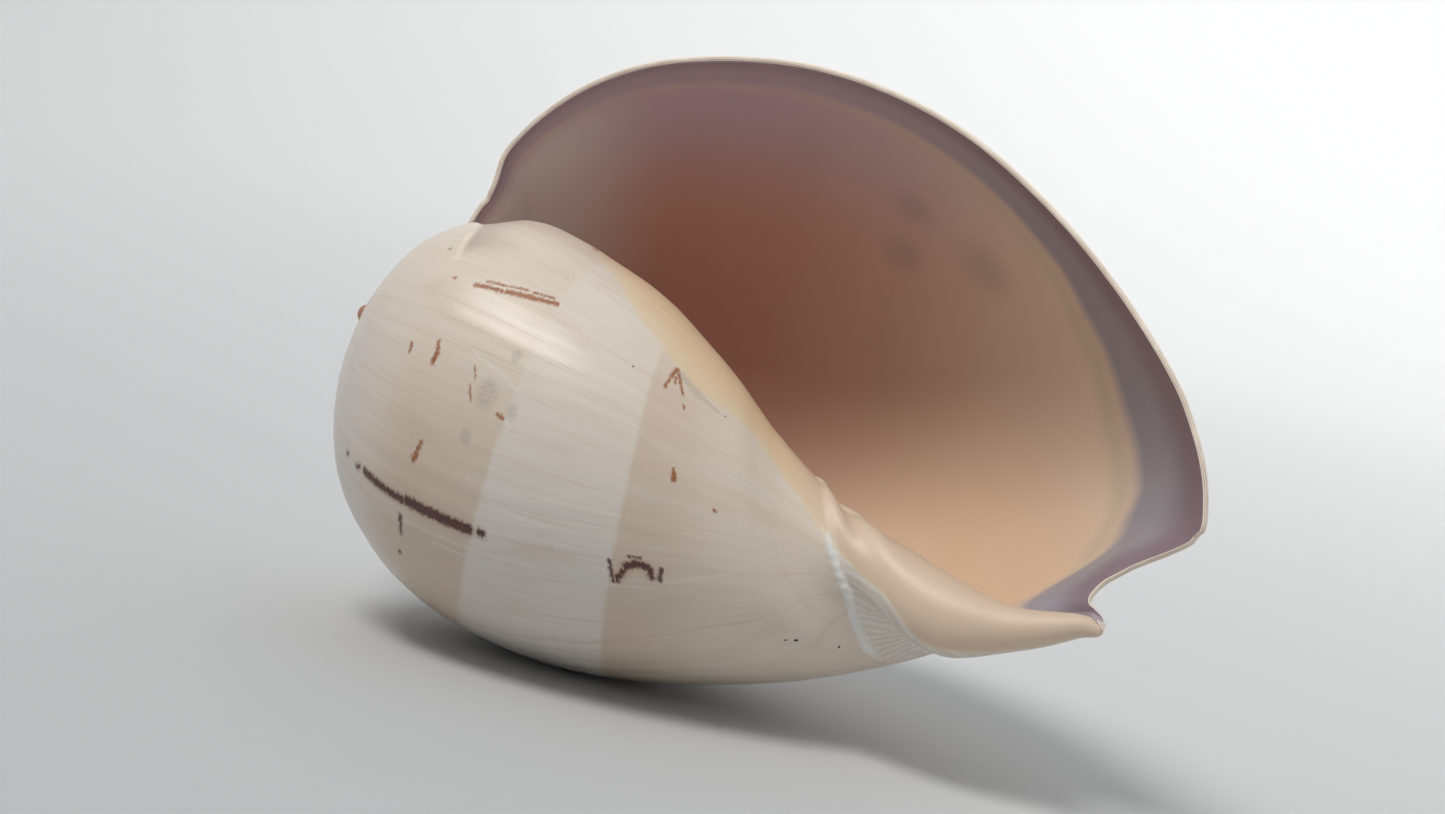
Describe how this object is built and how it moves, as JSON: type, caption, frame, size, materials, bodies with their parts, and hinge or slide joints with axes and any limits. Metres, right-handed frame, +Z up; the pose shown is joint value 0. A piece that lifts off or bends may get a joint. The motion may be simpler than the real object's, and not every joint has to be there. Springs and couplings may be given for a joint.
{
  "type": "melon shell",
  "caption": "Large smooth sea snail shell with a coiled body whorl and a very wide open mouth, resting on its back with the lip up, for display.",
  "frame": {"origin": "centre of the bounding box's bottom, on the surface that the shell rests on", "axes": "+X towards the shell's front tip along its coil, +Y away from the mouth, +Z up"},
  "size_m": [0.227, 0.1336, 0.1601],
  "materials": {
    "shell": "natural glossy shell"
  },
  "bodies": {
    "root": {"shell": "shell"}
  },
  "joints": []
}
